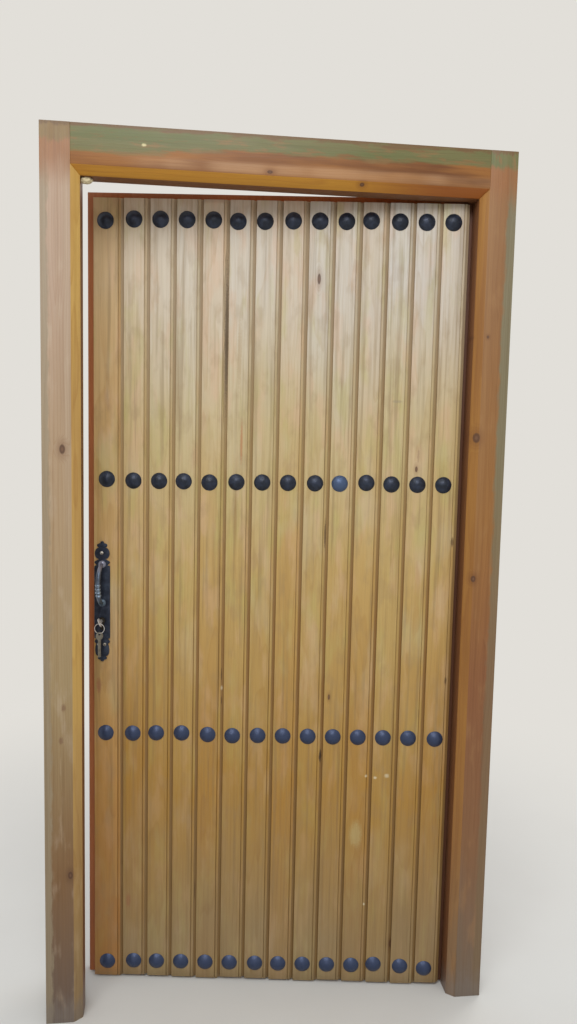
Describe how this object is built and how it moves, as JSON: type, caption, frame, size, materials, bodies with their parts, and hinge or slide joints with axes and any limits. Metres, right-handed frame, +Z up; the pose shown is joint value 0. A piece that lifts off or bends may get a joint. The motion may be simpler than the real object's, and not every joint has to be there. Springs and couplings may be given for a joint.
{
  "type": "plank door",
  "caption": "Rectangular plank door of beaded boards with rows of domed nails, hung ajar in a chamfered pine frame, with a pull plate, key and ring.",
  "frame": {"origin": "on the floor in the middle of the doorway, in the plane of the frame's outside face", "axes": "+X along the wall towards the hinges, +Y inwards through the doorway, +Z up"},
  "size_m": [1.124, 0.2678, 2.172],
  "materials": {
    "frame_pine_hinge_side": "oiled pine, orange brown",
    "frame_pine_latch_side": "weathered pine, greyish tan",
    "frame_pine_head": "oiled pine with traces of old paint",
    "board_01": "oiled pine, paler at the top",
    "board_02": "oiled pine, paler at the top",
    "board_03": "oiled pine, paler at the top",
    "board_04": "oiled pine, paler at the top",
    "board_05": "oiled pine, paler at the top",
    "board_06": "oiled pine, paler at the top",
    "board_07": "oiled pine, paler at the top",
    "board_08": "oiled pine, paler at the top",
    "board_09": "oiled pine, paler at the top",
    "board_10": "oiled pine, paler at the top",
    "board_11": "oiled pine, paler at the top",
    "board_12": "oiled pine, paler at the top",
    "board_13": "oiled pine, paler at the top",
    "board_14": "oiled pine, paler at the top",
    "backing_wood": "red-brown stained softwood",
    "nail_iron": "blackened forged iron, soft sheen",
    "plate_iron": "blackened forged iron",
    "screw_steel": "bright steel",
    "hinge_steel": "dull steel",
    "lock_steel": "dull steel",
    "barrel_brass": "worn brass",
    "key_steel": "worn nickel"
  },
  "bodies": {
    "frame": {"hinge_jamb": "frame_pine_hinge_side", "latch_jamb": "frame_pine_latch_side", "frame_head": "frame_pine_head", "strike_plate": "lock_steel", "strike_screws": "screw_steel", "hinge_frame_screws": "screw_steel", "hinge_frame_plate_1": "hinge_steel", "hinge_frame_plate_2": "hinge_steel", "hinge_frame_plate_3": "hinge_steel", "hinge_pin_1": "hinge_steel", "hinge_pin_2": "hinge_steel", "hinge_pin_3": "hinge_steel"},
    "leaf": {"hinge_stile": "backing_wood", "latch_stile": "backing_wood", "rail_1": "backing_wood", "rail_2": "backing_wood", "rail_3": "backing_wood", "rail_4": "backing_wood", "board_01": "board_01", "board_02": "board_02", "board_03": "board_03", "board_04": "board_04", "board_05": "board_05", "board_06": "board_06", "board_07": "board_07", "board_08": "board_08", "board_09": "board_09", "board_10": "board_10", "board_11": "board_11", "board_12": "board_12", "board_13": "board_13", "board_14": "board_14", "nails": "nail_iron", "hinge_leaf_screws": "screw_steel", "hinge_leaf_plate_1": "hinge_steel", "hinge_leaf_plate_2": "hinge_steel", "hinge_leaf_plate_3": "hinge_steel", "lock_case": "lock_steel", "faceplate": "lock_steel", "faceplate_screws": "screw_steel", "barrel_screw": "screw_steel", "barrel": "barrel_brass", "outer_plate": "plate_iron", "outer_plate_screws": "screw_steel", "outer_pull": "plate_iron", "inner_plate": "plate_iron", "inner_plate_screws": "screw_steel", "inner_pull": "plate_iron"},
    "deadbolt": {"deadbolt": "lock_steel"},
    "key": {"plug": "barrel_brass", "key": "key_steel"},
    "key_ring": {"key_ring": "key_steel"},
    "spare_key": {"spare_key": "key_steel"}
  },
  "joints": [
    {"name": "door_swing", "type": "hinge", "parent": "frame", "child": "leaf", "pos_m": [0.4845, 0.0975, 1.04], "axis": [0, 0, -1], "range_deg": [-7.6, 89]},
    {"name": "key_turn", "type": "hinge", "parent": "leaf", "child": "key", "pos_m": [-0.44173, 0.16106, 0.989], "axis": [-0.1323, -0.9912, 0], "range_deg": [0, 90]},
    {"name": "bolt_throw", "type": "slide", "parent": "leaf", "child": "deadbolt", "axis": [-0.9912, 0.1323, 0], "range_m": [0, 0.016]},
    {"name": "ring_swing", "type": "hinge", "parent": "key", "child": "key_ring", "pos_m": [-0.4453, 0.13429, 0.9872], "axis": [-0.9912, 0.1323, 0], "range_deg": [-10, 60]},
    {"name": "spare_key_swing", "type": "hinge", "parent": "key_ring", "child": "spare_key", "pos_m": [-0.4453, 0.13429, 0.962], "axis": [-0.9912, 0.1323, 0], "range_deg": [-10, 40]}
  ],
  "couplings": [
    {"joint": "bolt_throw", "follows": "key_turn", "m_per_rad": 0.010185}
  ]
}
